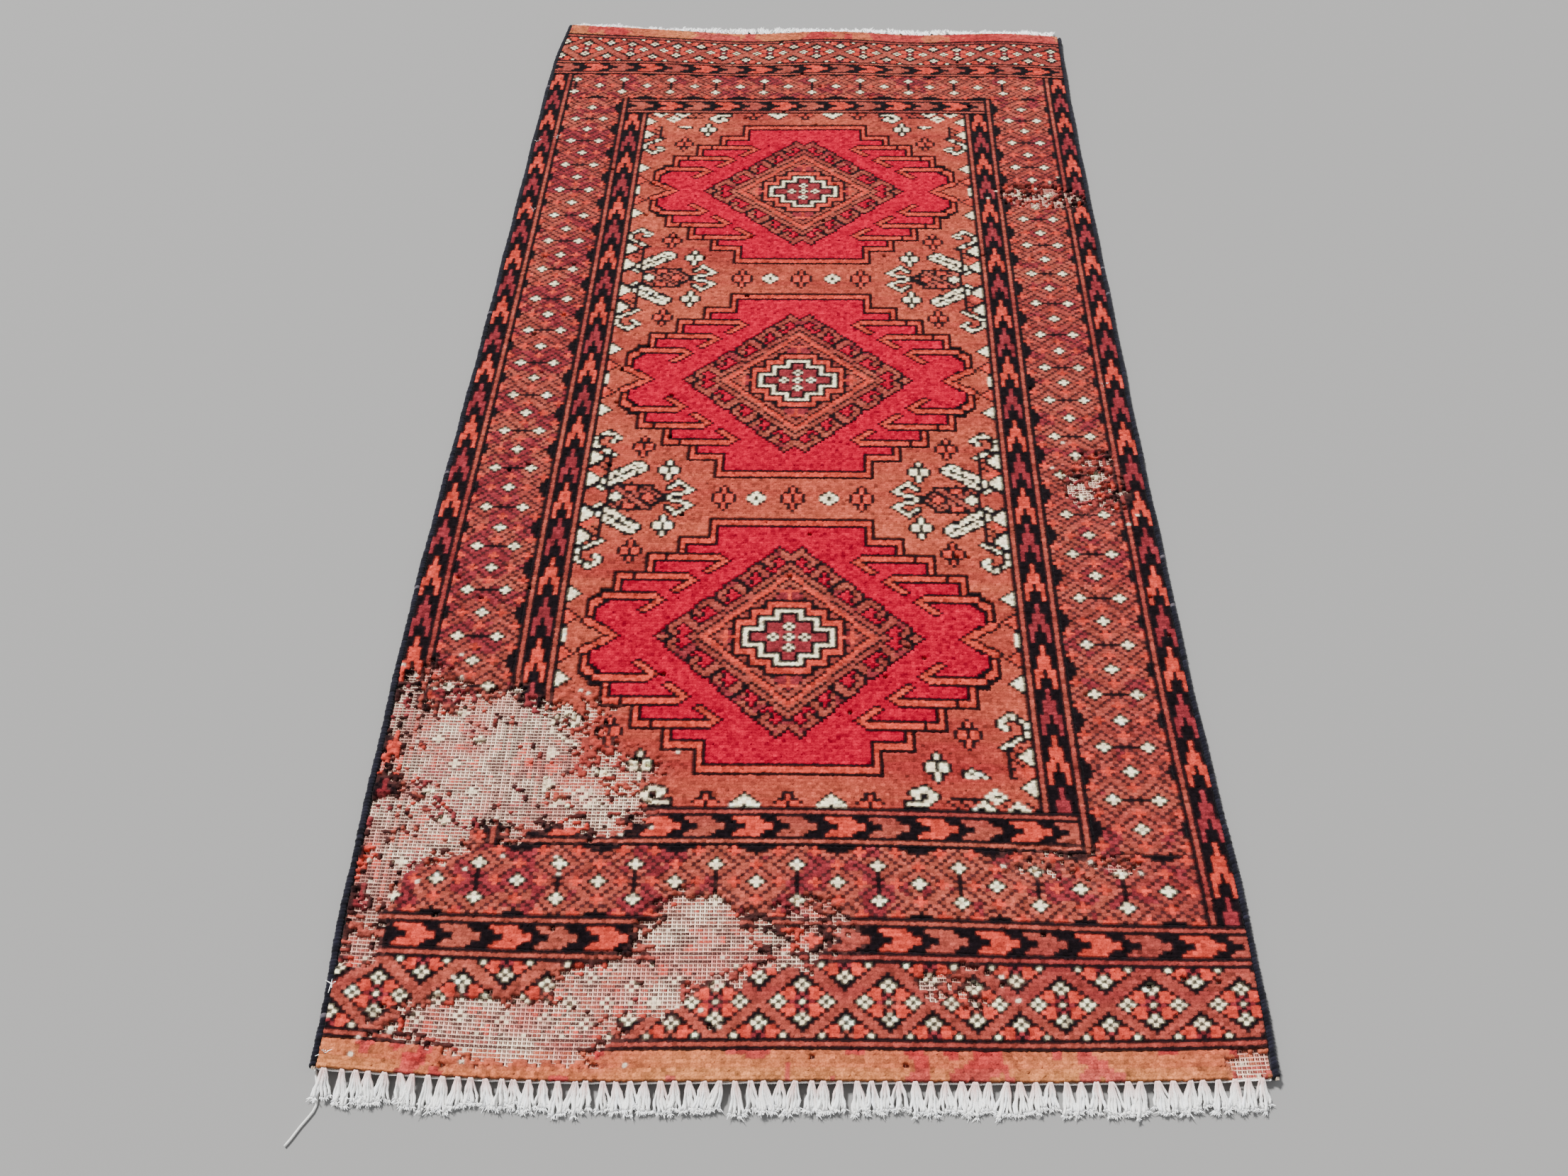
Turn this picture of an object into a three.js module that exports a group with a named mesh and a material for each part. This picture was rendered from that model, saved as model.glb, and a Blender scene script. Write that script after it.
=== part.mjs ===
// Hand-knotted runner rug, lying flat.
// Millimetres, +Z up, origin at the middle of the underside.
// +Y runs along the rug; its near end is at -Y.
// Every length across or along the pile is a whole number of knots.

import * as THREE from 'three';

// Knot pitch and knot counts
const KNOT_ACROSS = 3.32;
const KNOT_ALONG = 2.62;
const COLUMNS = 193;
const ROWS = 490;

// Bands, in knots, from the outside in
const SKIRT_ROWS = 7;
const LINES = 3;
const END_PANEL = 18;
const GUARD_ROWS = 6;
const GUARD_COLUMNS = 5;
const BORDER = 20;

// Medallions, in knots
const MEDALLION_SPACING = 115;
const MEDALLION_STEPS = [[22, 48], [30, 41], [38, 34], [46, 26], [49, 18]];
const MEDALLION_SIDE = { column: 53, row: 14, lowRow: 5 };
const MEDALLION_NOTCH = 47;
const CENTRE_STEP = 7;
const CENTRE_STEPS = 6;
const CENTRE_POINT = 4;

// Heights
const CLOTH_THICKNESS = 2.2;
const PILE_HEIGHT = 4.8;
const GAP = 0.3;

// Edges and ends
const SELVEDGE_DIAMETER = 6;
const SELVEDGE_CORE_DIAMETER = 3;
const ROUND_SIDES = 16;
const STITCH_CORD_DIAMETER = 1.6;
const STITCH_SIDES = 8;
const TASSEL_LENGTH = 25;
const TASSEL_THICKNESS = 2.2;
const KNOTS_PER_TASSEL = 3;
const TASSELS_PER_GROUP = 8;
const GROUPS_PER_END = 8;
const TASSEL_ROOT_WIDTH = 3.6;
const TASSEL_END_WIDTH = 8.4;
const TASSEL_ROOT_STRIP = 1.5;

// Free end of the stitch cord, lying on the floor off the near left corner
const LOOSE_CORD_DIAMETER = 1.8;
const LOOSE_CORD_SIDES = 8;
const LOOSE_CORD_STEPS = 15;
const LOOSE_CORD_ROUTE = [
  [-321.7, -643.2],
  [-321.9, -646.0],
  [-321.9, -649.5],
  [-321.6, -653.0],
  [-321.1, -656.5],
  [-320.6, -660.0],
  [-320.2, -663.5],
  [-319.9, -667.0],
  [-319.6, -670.5],
  [-319.3, -674.0],
  [-319.3, -677.5],
  [-319.8, -681.0],
  [-320.7, -684.3],
  [-321.9, -687.3],
  [-323.2, -690.0],
  [-324.6, -692.4],
];

const WIDTH = COLUMNS * KNOT_ACROSS;
const LENGTH = ROWS * KNOT_ALONG;
const PILE_BOTTOM = CLOTH_THICKNESS + GAP;

const rug = new THREE.Group();

function wool(colour) {
  return new THREE.MeshStandardMaterial({ color: colour, roughness: 0.95, metalness: 0 });
}

const COLOURS = {
  skirt: 0xb96a4c,
  panel: 0x9a4540,
  guard: 0xd2604a,
  border: 0x7f3a35,
  field: 0xa85a48,
  crimson: 0xc02038,
  hooked: 0x8f4038,
  navy: 0x2b2c3c,
  cotton: 0xe8dfcc,
};

function addMesh(name, geometry, colour) {
  const mesh = new THREE.Mesh(geometry, wool(colour));
  mesh.name = name;
  rug.add(mesh);
  return mesh;
}

function columnToX(column) {
  return (column - COLUMNS / 2) * KNOT_ACROSS;
}

function rowToY(row) {
  return (row - ROWS / 2) * KNOT_ALONG;
}

// A rectangular stretch of pile between two columns and two rows
function addPileStrip(name, columns, rows, colour) {
  const width = columnToX(columns[1]) - columnToX(columns[0]) - GAP;
  const length = rowToY(rows[1]) - rowToY(rows[0]) - GAP;
  const strip = addMesh(name, new THREE.BoxGeometry(width, length, PILE_HEIGHT), colour);
  strip.position.set(
    (columnToX(columns[0]) + columnToX(columns[1])) / 2,
    (rowToY(rows[0]) + rowToY(rows[1])) / 2,
    PILE_BOTTOM + PILE_HEIGHT / 2,
  );
}

// Mirrors the outline of the first quadrant into all four, anticlockwise.
// The points go from the end on the +Y side round to the +X side, in knots.
function fourfoldOutline(quadrant) {
  const upRight = quadrant.map(([u, v]) => [u, v]).reverse();
  const upLeft = quadrant.map(([u, v]) => [-u, v]);
  const downLeft = quadrant.map(([u, v]) => [-u, -v]).reverse();
  const downRight = quadrant.map(([u, v]) => [u, -v]);
  return [...upRight, ...upLeft, ...downLeft, ...downRight];
}

// Knots to millimetres on the rug, without doubled points
function toMillimetres(outline, centreRow) {
  const points = outline.map(([u, v]) => new THREE.Vector2(
    u * KNOT_ACROSS,
    v * KNOT_ALONG + rowToY(centreRow),
  ));
  return points.filter((point, i) => {
    const previous = points[(i + points.length - 1) % points.length];
    return point.distanceTo(previous) > GAP / 10;
  });
}

// Moves every side of an anticlockwise outline outward by a margin
function growOutline(points, margin) {
  const outward = points.map((point, i) => {
    const next = points[(i + 1) % points.length];
    const along = next.clone().sub(point).normalize();
    return new THREE.Vector2(along.y, -along.x);
  });
  return points.map((point, i) => {
    const before = outward[(i + points.length - 1) % points.length];
    const after = outward[i];
    const corner = before.clone().add(after);
    return point.clone().add(corner.multiplyScalar(margin / (1 + before.dot(after))));
  });
}

// Stepped top and bottom, upright sides, and a notch at half height
function medallionOutline() {
  const quadrant = [];
  MEDALLION_STEPS.forEach(([u, v], i) => {
    quadrant.push([u, v]);
    if (i + 1 < MEDALLION_STEPS.length) {
      quadrant.push([u, MEDALLION_STEPS[i + 1][1]]);
    }
  });
  quadrant.push([MEDALLION_SIDE.column, MEDALLION_SIDE.row]);
  quadrant.push([MEDALLION_SIDE.column, MEDALLION_SIDE.lowRow]);
  quadrant.push([MEDALLION_NOTCH, 0]);
  return fourfoldOutline(quadrant);
}

// The hooked diamond in the middle, as a staircase of equal steps
function centreOutline() {
  const quadrant = [];
  for (let i = 0; i < CENTRE_STEPS; i += 1) {
    const u = CENTRE_POINT + i * CENTRE_STEP;
    const v = CENTRE_POINT + (CENTRE_STEPS - 1 - i) * CENTRE_STEP;
    if (i > 0) {
      quadrant.push([u - CENTRE_STEP, v]);
    }
    quadrant.push([u, v]);
  }
  return fourfoldOutline(quadrant);
}

function extrudePile(outline, holes) {
  const shape = new THREE.Shape(outline);
  holes.forEach((hole) => shape.holes.push(new THREE.Path([...hole].reverse())));
  const geometry = new THREE.ExtrudeGeometry(shape, { depth: PILE_HEIGHT, bevelEnabled: false });
  geometry.translate(0, 0, PILE_BOTTOM);
  return geometry;
}

// Row limits of the bands, from the near end, mirrored at the far end
const skirtEnd = SKIRT_ROWS;
const panelEnd = skirtEnd + LINES + END_PANEL + LINES;
const outerGuardEnd = panelEnd + GUARD_ROWS + LINES;
const borderEnd = outerGuardEnd + BORDER;
const innerGuardEnd = borderEnd + LINES + GUARD_ROWS + LINES;

// Column limits of the bands, from the left edge, mirrored at the right edge
const outerGuardSide = GUARD_COLUMNS + LINES;
const borderSide = outerGuardSide + BORDER;
const innerGuardSide = borderSide + LINES + GUARD_COLUMNS + LINES;

function addCloth() {
  const cloth = new THREE.BoxGeometry(WIDTH, LENGTH, CLOTH_THICKNESS);
  addMesh('foundation_cloth', cloth, COLOURS.cotton).position.z = CLOTH_THICKNESS / 2;
}

// A band that crosses the whole width or a frame's width at both ends
function addEndBands(name, sideColumns, rows, colour) {
  const columns = [sideColumns, COLUMNS - sideColumns];
  addPileStrip(`${name}_near`, columns, rows, colour);
  addPileStrip(`${name}_far`, columns, [ROWS - rows[1], ROWS - rows[0]], colour);
}

// A band that runs along both sides between two end bands
function addSideBands(name, columns, endRows, colour) {
  const rows = [endRows, ROWS - endRows];
  addPileStrip(`${name}_left`, columns, rows, colour);
  addPileStrip(`${name}_right`, [COLUMNS - columns[1], COLUMNS - columns[0]], rows, colour);
}

function addBands() {
  addEndBands('skirt_pile', 0, [0, skirtEnd], COLOURS.skirt);
  addEndBands('end_panel_pile', 0, [skirtEnd, panelEnd], COLOURS.panel);
  addEndBands('outer_guard_pile', 0, [panelEnd, outerGuardEnd], COLOURS.guard);
  addSideBands('outer_guard_pile', [0, outerGuardSide], outerGuardEnd, COLOURS.guard);
  addEndBands('main_border_pile', outerGuardSide, [outerGuardEnd, borderEnd], COLOURS.border);
  addSideBands('main_border_pile', [outerGuardSide, borderSide], borderEnd, COLOURS.border);
  addEndBands('inner_guard_pile', borderSide, [borderEnd, innerGuardEnd], COLOURS.guard);
  addSideBands('inner_guard_pile', [borderSide, innerGuardSide], innerGuardEnd, COLOURS.guard);
}

function addField() {
  const middle = ROWS / 2;
  const places = {
    near: middle - MEDALLION_SPACING,
    middle,
    far: middle + MEDALLION_SPACING,
  };
  const halfWidth = columnToX(COLUMNS - innerGuardSide) - GAP / 2;
  const halfLength = rowToY(ROWS - innerGuardEnd) - GAP / 2;
  const ground = [
    new THREE.Vector2(-halfWidth, -halfLength),
    new THREE.Vector2(halfWidth, -halfLength),
    new THREE.Vector2(halfWidth, halfLength),
    new THREE.Vector2(-halfWidth, halfLength),
  ];
  const holes = [];
  Object.entries(places).forEach(([place, row]) => {
    const rim = toMillimetres(medallionOutline(), row);
    const centre = toMillimetres(centreOutline(), row);
    const centreHole = growOutline(centre, GAP);
    holes.push(growOutline(rim, GAP));
    addMesh(`medallion_pile_${place}`, extrudePile(rim, [centreHole]), COLOURS.crimson);
    addMesh(`medallion_centre_pile_${place}`, extrudePile(centre, []), COLOURS.hooked);
  });
  addMesh('field_ground_pile', extrudePile(ground, holes), COLOURS.field);
}

function roundOutline(diameter, sides) {
  const points = [];
  for (let i = 0; i < sides; i += 1) {
    const angle = (i + 0.5) * 2 * Math.PI / sides;
    const radius = diameter / 2 / Math.cos(Math.PI / sides);
    points.push(new THREE.Vector2(radius * Math.cos(angle), radius * Math.sin(angle)));
  }
  return points;
}

// A straight rod or sleeve along +Z, from a round outline
function extrudeRod(outline, hole, length) {
  const shape = new THREE.Shape(outline);
  if (hole) {
    shape.holes.push(new THREE.Path([...hole].reverse()));
  }
  const geometry = new THREE.ExtrudeGeometry(shape, { depth: length, bevelEnabled: false });
  geometry.translate(0, 0, -length / 2);
  return geometry;
}

// A bundle of side warps inside a sleeve of close wool overcasting
function addSelvedges() {
  const wrapOutline = roundOutline(SELVEDGE_DIAMETER, ROUND_SIDES);
  const wrapHole = roundOutline(SELVEDGE_CORE_DIAMETER + 2 * GAP, ROUND_SIDES);
  const coreOutline = roundOutline(SELVEDGE_CORE_DIAMETER, ROUND_SIDES);
  [['left', -1], ['right', 1]].forEach(([side, sign]) => {
    const x = sign * (WIDTH / 2 + GAP + SELVEDGE_DIAMETER / 2);
    const wrap = extrudeRod(wrapOutline, wrapHole, LENGTH);
    const core = extrudeRod(coreOutline, null, LENGTH);
    [[`selvedge_wrap_${side}`, wrap, COLOURS.navy], [`selvedge_core_${side}`, core, COLOURS.cotton]]
      .forEach(([name, geometry, colour]) => {
        const rod = addMesh(name, geometry, colour);
        rod.rotation.x = Math.PI / 2;
        rod.position.set(x, 0, SELVEDGE_DIAMETER / 2);
      });
  });
}

function addStitchCords() {
  const outline = roundOutline(STITCH_CORD_DIAMETER, STITCH_SIDES);
  [['near', -1], ['far', 1]].forEach(([end, sign]) => {
    const cord = addMesh(`stitch_cord_${end}`, extrudeRod(outline, null, WIDTH), COLOURS.cotton);
    cord.rotation.y = Math.PI / 2;
    cord.position.set(
      0,
      sign * (LENGTH / 2 + GAP + STITCH_CORD_DIAMETER / 2),
      CLOTH_THICKNESS - STITCH_CORD_DIAMETER / 2,
    );
  });
}

// A run of tassels on one narrow strip of warp ends, pointing to -Y
function tasselGroupOutline() {
  const pitch = KNOTS_PER_TASSEL * KNOT_ACROSS;
  const halfWidth = TASSELS_PER_GROUP * pitch / 2 - GAP / 2;
  const points = [new THREE.Vector2(halfWidth, 0), new THREE.Vector2(-halfWidth, 0)];
  points.push(new THREE.Vector2(-halfWidth, -TASSEL_ROOT_STRIP));
  for (let i = 0; i < TASSELS_PER_GROUP; i += 1) {
    const x = (i - (TASSELS_PER_GROUP - 1) / 2) * pitch;
    points.push(new THREE.Vector2(x - TASSEL_ROOT_WIDTH / 2, -TASSEL_ROOT_STRIP));
    points.push(new THREE.Vector2(x - TASSEL_END_WIDTH / 2, -TASSEL_LENGTH));
    points.push(new THREE.Vector2(x + TASSEL_END_WIDTH / 2, -TASSEL_LENGTH));
    points.push(new THREE.Vector2(x + TASSEL_ROOT_WIDTH / 2, -TASSEL_ROOT_STRIP));
  }
  points.push(new THREE.Vector2(halfWidth, -TASSEL_ROOT_STRIP));
  return points;
}

function addFringes() {
  const groupWidth = TASSELS_PER_GROUP * KNOTS_PER_TASSEL * KNOT_ACROSS;
  const start = LENGTH / 2 + STITCH_CORD_DIAMETER + 2 * GAP;
  [['near', 1, 0], ['far', -1, Math.PI]].forEach(([end, sign, turn]) => {
    for (let i = 0; i < GROUPS_PER_END; i += 1) {
      const shape = new THREE.Shape(tasselGroupOutline());
      const geometry = new THREE.ExtrudeGeometry(
        shape,
        { depth: TASSEL_THICKNESS, bevelEnabled: false },
      );
      const group = addMesh(`tassels_${end}_${i + 1}`, geometry, COLOURS.cotton);
      group.rotation.z = turn;
      group.position.set((i - (GROUPS_PER_END - 1) / 2) * groupWidth, -sign * start, 0);
    }
  });
}

function addLooseCord() {
  const z = LOOSE_CORD_DIAMETER / 2;
  const route = LOOSE_CORD_ROUTE.map(([x, y]) => new THREE.Vector3(x, y, z));
  const radius = LOOSE_CORD_DIAMETER / 2;
  const section = [];
  for (let i = 0; i < LOOSE_CORD_SIDES; i += 1) {
    const angle = i * 2 * Math.PI / LOOSE_CORD_SIDES;
    section.push(new THREE.Vector2(radius * Math.cos(angle), radius * Math.sin(angle)));
  }
  const geometry = new THREE.ExtrudeGeometry(new THREE.Shape(section), {
    steps: LOOSE_CORD_STEPS,
    extrudePath: new THREE.CatmullRomCurve3(route),
    bevelEnabled: false,
  });
  addMesh('loose_cord_end', geometry, COLOURS.cotton);
}

addCloth();
addBands();
addField();
addSelvedges();
addStitchCords();
addFringes();
addLooseCord();

export default rug;
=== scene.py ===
import math
import bpy
import numpy as np
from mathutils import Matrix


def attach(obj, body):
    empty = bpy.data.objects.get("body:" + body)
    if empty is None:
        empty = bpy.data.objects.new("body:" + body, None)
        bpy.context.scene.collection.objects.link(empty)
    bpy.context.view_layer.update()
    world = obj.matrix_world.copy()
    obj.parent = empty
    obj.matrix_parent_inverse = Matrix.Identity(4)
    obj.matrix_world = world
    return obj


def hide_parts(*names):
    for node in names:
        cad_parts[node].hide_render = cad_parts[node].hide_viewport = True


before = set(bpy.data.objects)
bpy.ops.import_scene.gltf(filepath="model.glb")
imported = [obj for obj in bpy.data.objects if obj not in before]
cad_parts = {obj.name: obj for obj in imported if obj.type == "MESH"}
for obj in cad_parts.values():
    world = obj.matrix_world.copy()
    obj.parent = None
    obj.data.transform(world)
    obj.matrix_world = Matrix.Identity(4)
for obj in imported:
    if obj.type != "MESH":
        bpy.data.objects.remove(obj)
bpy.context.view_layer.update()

# The rug's grid of knots, in metres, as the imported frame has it
COLUMNS, ROWS = 193, 490
ACROSS, ALONG = 0.00332, 0.00262
HALF_WIDTH, HALF_LENGTH = COLUMNS * ACROSS / 2, ROWS * ALONG / 2
CLOTH_TOP, PILE_TOP = 0.0022, 0.0070
CENTRE, MEDALLIONS, GAPS = 96, (130, 245, 360), (187.5, 302.5)
seeded = np.random.default_rng(11)


# Camera: fitted to the rug's corners and medallions
camera_data = bpy.data.cameras.new("camera")
camera_data.sensor_width = 36.0
camera_data.lens = 26.04
camera = bpy.data.objects.new("camera", camera_data)
camera.location = (0.0095, -0.8082, 0.8132)
camera.rotation_euler = (math.radians(34.76), math.radians(0.44), math.radians(1.19))
bpy.context.scene.collection.objects.link(camera)
bpy.context.scene.camera = camera


# ---- How the rug lies: the flat cut, shifted a little ----
def smooth(value, start, end):
    t = np.clip((value - start) / (end - start), 0, 1)
    return t * t * (3 - 2 * t)


def laid(x, y, z):
    """Where a point of the flat rug lies on the floor."""
    s, t = x / HALF_WIDTH, y / HALF_LENGTH
    near, far = smooth(-t, 0.80, 1.0), smooth(t, 0.72, 1.0)
    corner = smooth(-s, 0.55, 1.05) * smooth(t, 0.86, 1.02)
    dx = -0.0010 + 0.0040 * t + 0.0058 * t * t + 0.0016 * np.sin(5.1 * t + 0.6)
    dx = (
        dx + 0.0050 * near * smooth(-s, 0.2, 1.0)
        + 0.0062 * smooth(s, 0.55, 0.98) * np.exp(-((t + 0.80) / 0.24) ** 2)
    )
    dx = dx + 0.0040 * smooth(s, 0.3, 1.0) * np.exp(-((t + 0.35) / 0.25) ** 2)
    dx = dx + 0.0090 * corner - 0.0045 * near * smooth(s, 0.3, 1.0) * 0.3
    dy = -near * (0.0070 - 0.0075 * s * s - 0.0035 * s)
    dy = dy - far * (0.0105 + 0.0030 * s - 0.0075 * smooth(-s, 0.5, 1.0))
    dy = dy + 0.0015 * np.sin(4.0 * s + 1.0) * smooth(np.abs(t), 0.3, 1.0)
    lift = 0.0009 * (1 + np.sin(3.1 * s + 4.3 * t) * np.cos(5.7 * t - 2.0 * s))
    lift = lift + 0.0022 * far * (1 + np.sin(9.0 * s + 0.8)) + 0.0012 * near * (1 + np.sin(7.0 * s + 2.0))
    lift = np.minimum(lift + 0.0065 * corner, 0.0095)
    lift = lift * (1 - 0.7 * smooth(np.abs(y), HALF_LENGTH + 0.002, HALF_LENGTH + 0.018))
    return x + dx, y + dy, z + lift


# ---- Yarn colours ----
def linear(red, green, blue):
    c = np.array([red, green, blue]) / 255
    return np.where(c > 0.04045, ((c + 0.055) / 1.055) ** 2.4, c / 12.92)


YARNS = {
    "k": linear(24, 16, 20),
    "b": linear(168, 74, 62),
    "m": linear(150, 50, 57),
    "c": linear(200, 0, 48),
    "o": linear(228, 76, 60),
    "w": linear(250, 230, 190),
    "t": linear(196, 100, 64),
    "f": linear(182, 84, 66),
    "r": linear(196, 60, 58),
    "d": linear(66, 30, 32),
}
CODES = {letter: index for index, letter in enumerate(YARNS)}
PALETTE = np.array(list(YARNS.values()))
K, B, M, C, O, W, T, F, R, D = (CODES[letter] for letter in "kbmcowtfrd")


def drift(shape, cell, seed, stretch=1.0):
    """Smooth random values from -1 to 1 on a grid of knots."""
    source = np.random.default_rng(seed)
    rows, columns = shape
    r, c = np.arange(rows) / (cell * stretch), np.arange(columns) / cell
    table = source.uniform(-1, 1, (int(r[-1]) + 2, int(c[-1]) + 2))
    i, j = r.astype(int), c.astype(int)
    a, b = (r - i)[:, None], (c - j)[None, :]
    a, b = a * a * (3 - 2 * a), b * b * (3 - 2 * b)
    top = table[np.ix_(i, j)] * (1 - b) + table[np.ix_(i, j + 1)] * b
    low = table[np.ix_(i + 1, j)] * (1 - b) + table[np.ix_(i + 1, j + 1)] * b
    return top * (1 - a) + low * a


# ---- The knotted pattern: one yarn code per knot ----
chart = np.full((ROWS, COLUMNS), B)
row, column = np.mgrid[0:ROWS, 0:COLUMNS]
mirror_row = np.minimum(row, ROWS - 1 - row)
mirror_column = np.minimum(column, COLUMNS - 1 - column)


def fill(mask, code):
    chart[mask] = code


def rows_of_lines(first, low_column, high_column):
    for step, code in enumerate((K, B, K)):
        fill((mirror_row == first + step) & (column >= low_column) & (column <= high_column), code)


def arrows_across(first_row, low_column, high_column):
    """Arrows pointing +X, two colours by turns, on black."""
    band = (row >= first_row) & (row < first_row + 6) & (column >= low_column) & (column <= high_column)
    shift = np.array([0, 1, 3, 3, 1, 0])[np.clip(row - first_row, 0, 5)]
    place = column - shift - low_column + 31.5
    inside = place % 10.5 < 6
    fill(band, K)
    fill(band & inside & (place // 10.5 % 2 == 0), O)
    fill(band & inside & (place // 10.5 % 2 == 1), B)


def arrows_along(first_column, low_row, high_row):
    """Arrows pointing +Y, two colours by turns, on black."""
    band = (column >= first_column) & (column < first_column + 5) & (row >= low_row) & (row <= high_row)
    side = np.abs(column - first_column - 2)
    place = high_row - row + 3
    below = place % 16.2
    inside = (below < 4) & (side == 0)
    inside |= (below >= 4) & (below < 8.5) & (side <= 1)
    inside |= (below >= 8.5) & (below < 11.5) & (side >= 1)
    inside |= (below >= 11.5) & (below < 15.5) & (side == 2)
    fill(band, K)
    fill(band & inside & (place // 16.2 % 2 == 0), O)
    fill(band & inside & (place // 16.2 % 2 == 1), M)


# Skirts: tan with crimson patches
fill(mirror_row < 7, T)
patchy = drift((ROWS, COLUMNS), 9, 3) + 0.6 * drift((ROWS, COLUMNS), 3, 4)
fill((mirror_row < 7) & (patchy + 0.35 * (row > 400) > 0.42), R)
rows_of_lines(7, 0, 192)

# End panels: a lattice of diamonds round small flowers
FLOWER = (
    "kckck.kck.kckck", ".kckoo.k.ookck.", "...oook.kooo...", "....ookckoo....",
    ".....kckck.....", "......kck......", ".......k.......",
)
panel = (mirror_row >= 10) & (mirror_row <= 27)
for start in (0, 9):
    across = (column - start + 9) % 18 - 9
    at_edges = np.minimum(np.abs(mirror_row - 9), np.abs(mirror_row - 28))
    along = np.abs(mirror_row - 18) if start == 9 else at_edges
    close = np.abs(across) / 9 + along / 9.5
    cell = panel & (close < 1)
    for step, line in enumerate(FLOWER):
        for place, letter in enumerate(line):
            if letter != ".":
                code = {"k": K, "c": W, "o": O}[letter]
                fill(cell & (along == step) & (across == place - 7), code)
    fill(cell & (close > 0.80), B)
    fill(cell & (close > 0.72) & (close <= 0.80) & (chart == B), K)
    diamonds = cell & (close <= 0.72) & (chart == B)
    fill(diamonds & (drift(chart.shape, 8, 9) > -0.2), M)
rows_of_lines(28, 0, 192)

# Outer guards
arrows_across(31, 0, 192)
arrows_across(453, 0, 192)
rows_of_lines(37, 0, 192)
for first_column in (0, 188):
    arrows_along(first_column, 40, 449)
for step, code in enumerate((K, B, K)):
    fill((mirror_column == 5 + step) & (mirror_row >= 40), code)


# Main border: cream crosses in nested dotted diamonds
def crosses(across, along, period, mask):
    """across and along are measured from the middle of a single cross."""
    single = along - np.round(np.round(along / period) * period)
    pair = along - np.round((np.floor(along / period) + 0.5) * period)
    apart = [
        np.abs(across) + np.abs(single),
        np.abs(across - 5) + np.abs(pair),
        np.abs(across + 5) + np.abs(pair),
    ]
    ring = np.min(apart, axis=0).astype(int)
    fill(mask, B)
    left_tint = 0.35 * smooth(CENTRE - column, -60, 60)
    fill(mask & (drift(chart.shape, 6, 21) + 0.5 * drift(chart.shape, 2, 22) + left_tint > 0.55), M)
    fill(mask & (ring % 3 == 2), D)
    fill(mask & (ring == 2), K)
    rosettes = ((5, 0), (-5, 0), (0, 5), (0, -5), (9, 5), (-9, 5), (9, -5), (-9, -5))
    for a, b in rosettes:
        near = np.abs(across - a) + np.abs(single - b)
        fill(mask & (near <= 1), O)
    for side in (across - 10, across + 10):
        fill(mask & (np.abs(side) + np.abs(single) * 0.6 < 2.5), K)
    fill(mask & (np.abs(across) < 4) & (np.abs(pair) == 0), K)
    fill(mask & (ring <= 1), W)


border = (mirror_row >= 40) & (mirror_column >= 8) & ~((mirror_row >= 60) & (mirror_column >= 28))
crosses(mirror_column - 17, row - 49, 17.78, border & (mirror_row >= 60))
crosses(mirror_row - 49, column - 18, 17.78, border & (mirror_row < 60))

# Inner guards
inner = (mirror_row >= 60) & (mirror_column >= 28)
for step, code in enumerate((K, B, K)):
    fill(inner & ((mirror_row == 60 + step) | (mirror_column == 28 + step)), code)
arrows_across(63, 31, 161)
arrows_across(421, 31, 161)
rows_of_lines(69, 31, 161)
for first_column in (31, 157):
    arrows_along(first_column, 72, 417)
for step, code in enumerate((K, B, K)):
    fill((mirror_column == 36 + step) & (mirror_row >= 72), code)
    fill((mirror_column == 28 + step) & (mirror_row >= 60 + step), code)

# Field
field = (mirror_row >= 72) & (mirror_column >= 39)
fill(field, F)
u = np.abs(column - CENTRE).astype(float)
v = np.min([np.abs(row - m) for m in MEDALLIONS], axis=0).astype(float)
gap = np.min([np.abs(row - m) for m in GAPS], axis=0) - 0.5
end = (mirror_row - 72).astype(float)


def shrink(mask, columns, rows):
    out = mask.copy()
    for i in range(-columns, columns + 1):
        for j in range(-rows, rows + 1):
            out &= np.roll(mask, (j, i), (0, 1))
    return out


def distance(along, points):
    best = np.full(chart.shape, 99.0)
    for (ax, ay), (bx, by) in zip(points[:-1], points[1:]):
        length = (bx - ax) ** 2 + (by - ay) ** 2
        t = np.clip(((u - ax) * (bx - ax) + (along - ay) * (by - ay)) / max(length, 1e-6), 0, 1)
        best = np.minimum(best, np.hypot(u - ax - t * (bx - ax), along - ay - t * (by - ay)))
    return best


def stroke(along, points, half_width, code, outline=0.0, mask=None):
    allowed = field if mask is None else field & mask
    apart = distance(along, points)
    if outline:
        fill(allowed & (apart <= half_width + outline), K)
    fill(allowed & (apart <= half_width), code)


def motif(along, at_u, at_v, lines, code):
    middle = len(lines) // 2
    for step, line in enumerate(lines):
        for place, letter in enumerate(line):
            if letter == ".":
                continue
            hit = (np.round(u - at_u) == place - len(line) // 2) & (np.round(along - at_v) == middle - step)
            fill(field & hit, K if letter == "k" else code)


PETALS = (
    "...k...", "..kxk..", "..kxk..", ".kkxkk.", "kxxkxxk", "kxxkxxk",
    "kxxkxxk", ".kkkkk.", "..kxk..", "..kxk..", "...k...",
)
SMALL = (".kxk.", "kxxxk", "xxkxx", "kxxxk", ".kxk.")
TREFOIL = ("..kkk..", "..kxk..", ".kkxkk.", "kxxkxxk", ".xxkxx.")
CREAM_TREFOIL = ("...k...", "..kxk..", ".kxxxk.", "kxxxxxk", "xxxkxxx")
in_gap = gap < 12
near_medallion = ~in_gap & (end >= 10)

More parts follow.
